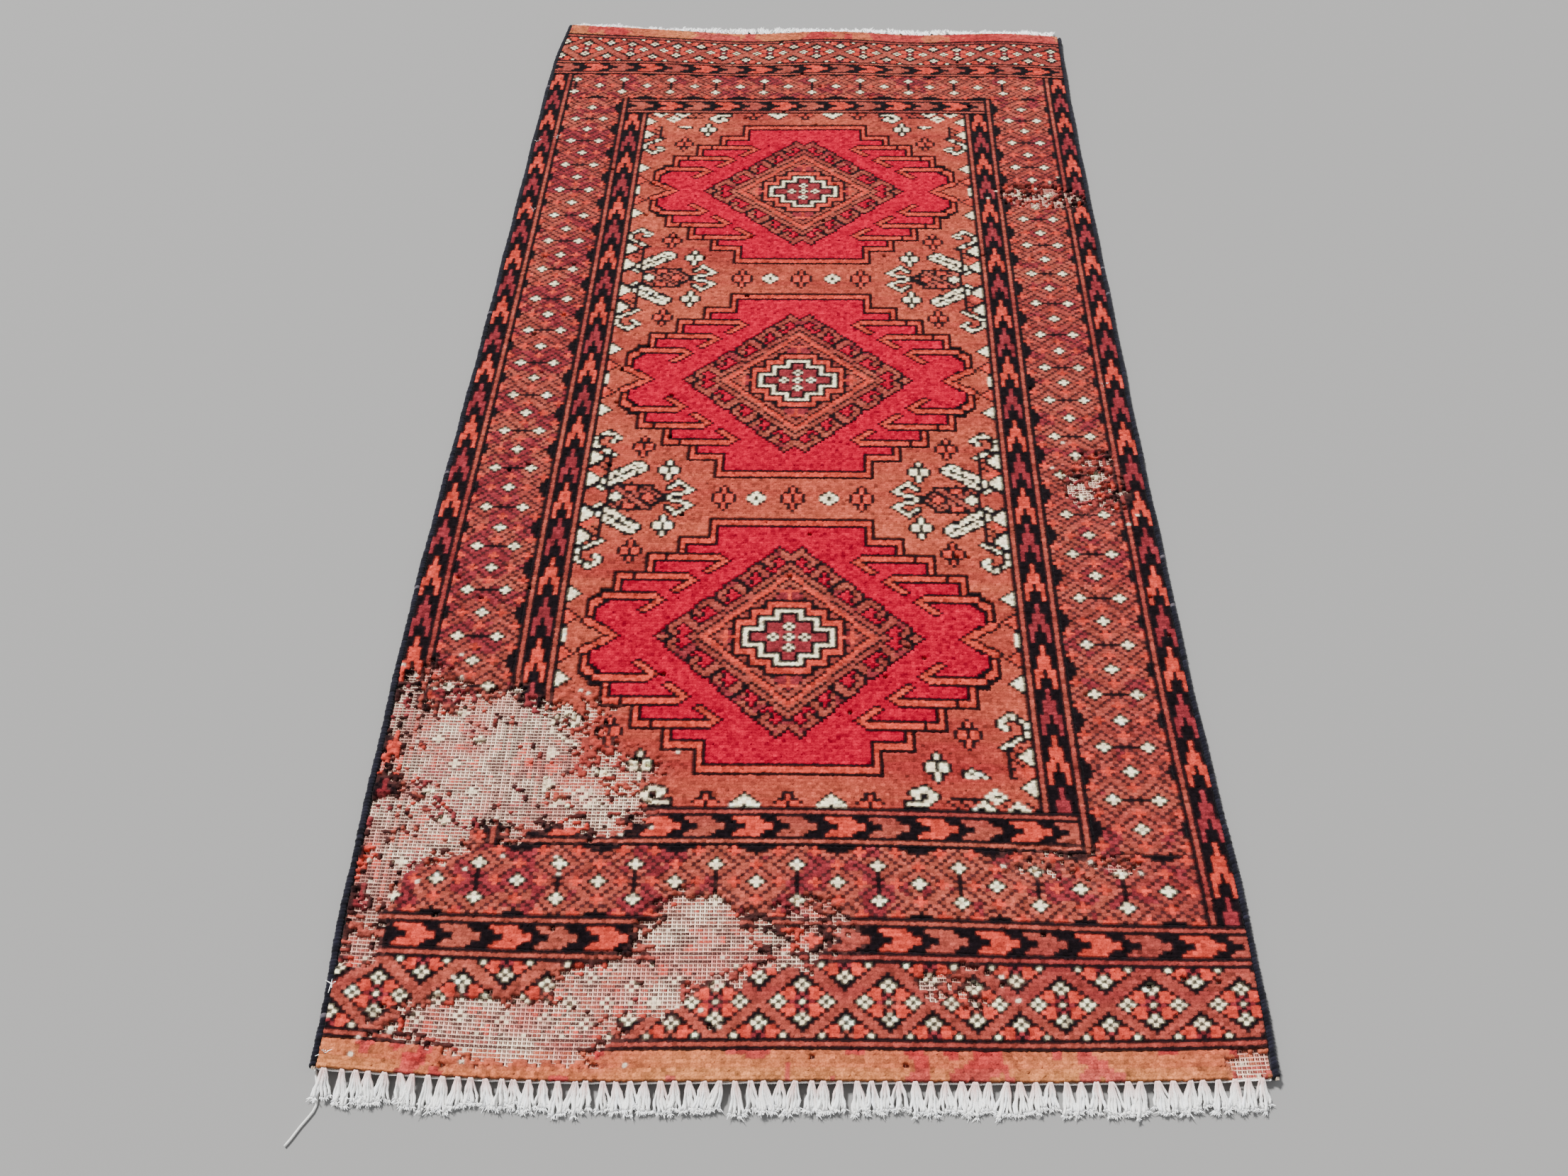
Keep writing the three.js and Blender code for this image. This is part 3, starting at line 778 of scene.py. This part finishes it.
# Selvedges: warps overcast with navy wool
sides_pieces = []
navy = linear(24, 23, 32)
for side_name, sign in (("left", -1), ("right", 1)):
    wraps = 500
    rings = np.arange(wraps * 3 + 1)
    y = -HALF_LENGTH + rings * (2 * HALF_LENGTH) / rings[-1]
    x = sign * (HALF_WIDTH + 0.0031) + 0.0004 * np.sin(y * 60)
    proud = np.array([0.84, 1.0, 0.97])[rings % 3]
    uneven = np.repeat(seeded.normal(0, 1, wraps + 1), 3)[: len(rings)].clip(-2, 2)
    radii = 0.0029 * proud * (1 + 0.06 * uneven)
    wrap_tone = np.repeat(np.clip(1 + 0.35 * seeded.normal(0, 1, wraps + 1), 0.5, 2.2), 3)[: len(rings)]
    pale = np.repeat(seeded.uniform(0, 1, wraps + 1) > 0.992, 3)[: len(rings)]
    # painted shade: the narrow ring between wraps is darkened to 0.45 and the last ring of each wrap to 0.9;
    # wrap_tone and the pale wraps are yarn colour
    shades = navy * (wrap_tone * np.array([0.45, 1.0, 0.9])[rings % 3])[:, None]
    shades = np.where(pale[:, None], linear(84, 78, 84), shades)
    bundle = Bundle()
    points, quads, colours = tube(np.stack([x, y, np.full(len(y), 0.0031)], 1), radii, 12, shades)
    points[:, 1] += 0.35 * (points[:, 2] - 0.0031) + 0.25 * (points[:, 0] - sign * (HALF_WIDTH + 0.0031))
    bundle.add(points, quads, colours)
    wrap = bundle.build(f"overcast_{side_name}", "navy_wool")
    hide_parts(f"selvedge_wrap_{side_name}")
    bundle = Bundle()
    for n in range(3):
        turn = 2 * math.pi * n / 3
        y = np.linspace(-HALF_LENGTH - 0.0015, HALF_LENGTH + 0.0015, 60)
        x = sign * (HALF_WIDTH + 0.0031) + 0.0008 * math.cos(turn)
        line = np.stack([np.full(60, x), y, np.full(60, 0.0031 + 0.0008 * math.sin(turn))], 1)
        bundle.add(*tube(line, np.full(60, 0.0007), 6, np.tile(thread * 0.9, (60, 1))))
    core = bundle.build(f"side_warps_{side_name}", "cotton_yarn")
    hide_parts(f"selvedge_core_{side_name}")
    sides_pieces += [wrap, core]

# Stitched cords along both ends
cotton = linear(255, 253, 248)
blush = linear(232, 190, 182)
for end_name, sign in (("near", -1), ("far", 1)):
    count = 1200
    x = np.linspace(-HALF_WIDTH + 0.001, HALF_WIDTH - 0.001, count)
    y = sign * (HALF_LENGTH + 0.0011) + 0.0002 * np.sin(x * 190)
    z = 0.0030 + 0.0005 * np.sin(x * 2 * math.pi / 0.00996)
    bundle = Bundle()
    tones = np.tile(cotton, (count, 1))
    bundle.add(*tube(np.stack([x, y, z], 1), np.full(count, 0.0006), 8, tones, 0.9, 2, 0.22))
    piece = bundle.build(f"stitching_{end_name}", "cotton_yarn")
    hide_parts(f"stitch_cord_{end_name}")


# Fringe: warps gathered into small tassels with teased white ends
def blade(bundle, root, tip, width, colour):
    """One flat fibre, as a narrow quad pair."""
    root, tip = np.array(root), np.array(tip)
    side = np.cross(tip - root, (0.3, 0.2, 1.0))
    side = side / max(np.linalg.norm(side), 1e-9) * width / 2
    middle = root * 0.45 + tip * 0.55
    points = np.array([
        root - side, root + side, middle + side * 0.8, middle - side * 0.8, tip + side * 0.2, tip - side * 0.2,
    ])
    bundle.add(points, np.array([[0, 1, 2, 3], [3, 2, 4, 5]]), np.tile(colour, (2, 4, 1)))


TASSELS, PER_GROUP, PITCH = 64, 8, 0.00996
for end_name, sign in (("near", -1), ("far", 1)):
    bundle = Bundle()
    for tassel in range(TASSELS):
        middle = (tassel - (TASSELS - 1) / 2) * PITCH + seeded.normal(0, 0.0007)
        lean = seeded.normal(0, 0.0018)
        reach = 0.0168 + seeded.normal(0, 0.0012)
        strands = int(seeded.integers(6, 9))
        for strand in range(strands):
            s = (strand + 0.5) / strands * 2 - 1 + seeded.normal(0, 0.10)
            rings = 12
            t = np.linspace(0, 1, rings)
            spread = 0.0009 + (0.0049 + 0.0006 * seeded.normal()) * t ** 0.75
            x = middle + lean * t + s * spread + 0.0007 * np.sin(t * 8 + seeded.uniform(0, 6)) * t
            long = reach * (1 + 0.07 * seeded.normal())
            y = sign * (HALF_LENGTH + 0.0002 + long * t)
            rest_z = 0.0012 + 0.0010 * abs(seeded.normal()) * t
            z = 0.0046 * (1 - t) ** 2.2 + rest_z + 0.0011 * math.cos(s * 1.4) * np.sin(t * 3.1)
            radii = 0.00076 * (0.85 + 0.55 * t) * (1 + 0.10 * seeded.normal(0, 1, rings).clip(-1, 1))
            bleed = np.clip(1.05 - t * 1.7 + 0.15 * seeded.normal(), 0, 1)[:, None]
            shades = (cotton * (1 - bleed) + blush * bleed) * (1 + 0.05 * seeded.normal())
            centre = np.stack([x, y, z], 1)
            bundle.add(*tube(centre, radii, 6, np.clip(shades, 0, 1), 0.8, 2, 0.25))
            for fibre in range(12):
                start = centre[-1] * 0.8 + centre[-2] * 0.2
                out = np.array([
                    seeded.normal(0, 0.0014) + 0.0006 * s,
                    sign * (0.0012 + abs(seeded.normal(0, 0.0011))),
                    seeded.normal(0, 0.0007),
                ])
                tip = start + out
                tip[2] = max(tip[2], 0.0003)
                blade(bundle, start, tip, 0.0007, np.clip(cotton * (1.05 + 0.06 * seeded.normal()), 0, 1))
        if tassel % PER_GROUP == PER_GROUP - 1:
            group = tassel // PER_GROUP + 1
            piece = bundle.build(f"fringe_{end_name}_{group}", "cotton_yarn")
            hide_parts(f"tassels_{end_name}_{group}")
            bundle = Bundle()

# Small tufts of white warp showing through the pile
bundle = Bundle()
tuft_places = (
    (-0.3215, -0.5886), (-0.3175, -0.6330), (-0.3180, 0.3960),
    (-0.2950, 0.4050), (-0.3030, 0.2650), (0.3010, -0.0016),
)
for x, y in tuft_places:
    for fibre in range(10):
        tip = (
            x + seeded.normal(0, 0.0022), y + seeded.normal(0, 0.0022),
            PILE_TOP + abs(seeded.normal(0.0004, 0.0006)),
        )
        blade(bundle, (x, y, PILE_TOP - 0.0012), tip, 0.0007, cotton)
tufts = bundle.build("warp_tufts", "cotton_yarn")

# ---- The loose end of stitching cord ----
route = (
    (-0.3165, -0.6450), (-0.3152, -0.6490), (-0.3138, -0.6530), (-0.3125, -0.6570), (-0.3113, -0.6610),
    (-0.3106, -0.6645), (-0.3104, -0.6680), (-0.3114, -0.6715), (-0.3134, -0.6748), (-0.3156, -0.6780),
    (-0.3178, -0.6813), (-0.3198, -0.6848), (-0.3216, -0.6880), (-0.3232, -0.6904), (-0.3247, -0.6926),
)
line = np.array([(x, y, 0.0011) for x, y in route])
cord_tone = np.tile(linear(226, 224, 218), (len(line), 1))
points, quads, colours = tube(line, np.full(len(line), 0.0009), 10, cord_tone)
loose_cord = make_mesh("loose_cord", points, quads, colours, "cotton_yarn")
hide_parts("loose_cord_end")

# ---- Floor and light ----
bpy.ops.mesh.primitive_plane_add(size=14.0)
floor = bpy.context.object
floor.name = "floor"
floor_material = bpy.data.materials.new("floor")
floor_material.use_nodes = True
floor_shader = floor_material.node_tree.nodes["Principled BSDF"]
floor_shader.inputs["Base Color"].default_value = (0.235, 0.23, 0.222, 1.0)
floor_shader.inputs["Roughness"].default_value = 0.9
floor.data.materials.append(floor_material)
sun_data = bpy.data.lights.new("sun", "SUN")
sun_data.energy = 7.8
sun_data.angle = math.radians(9)
sun = bpy.data.objects.new("sun", sun_data)
sun.rotation_euler = (math.radians(-32), math.radians(-27), 0.0)
bpy.context.scene.collection.objects.link(sun)
world = bpy.data.worlds.new("sky")
world.use_nodes = True
world.node_tree.nodes["Background"].inputs["Color"].default_value = (0.92, 0.95, 1.0, 1.0)
world.node_tree.nodes["Background"].inputs["Strength"].default_value = 0.72
bpy.context.scene.world = world
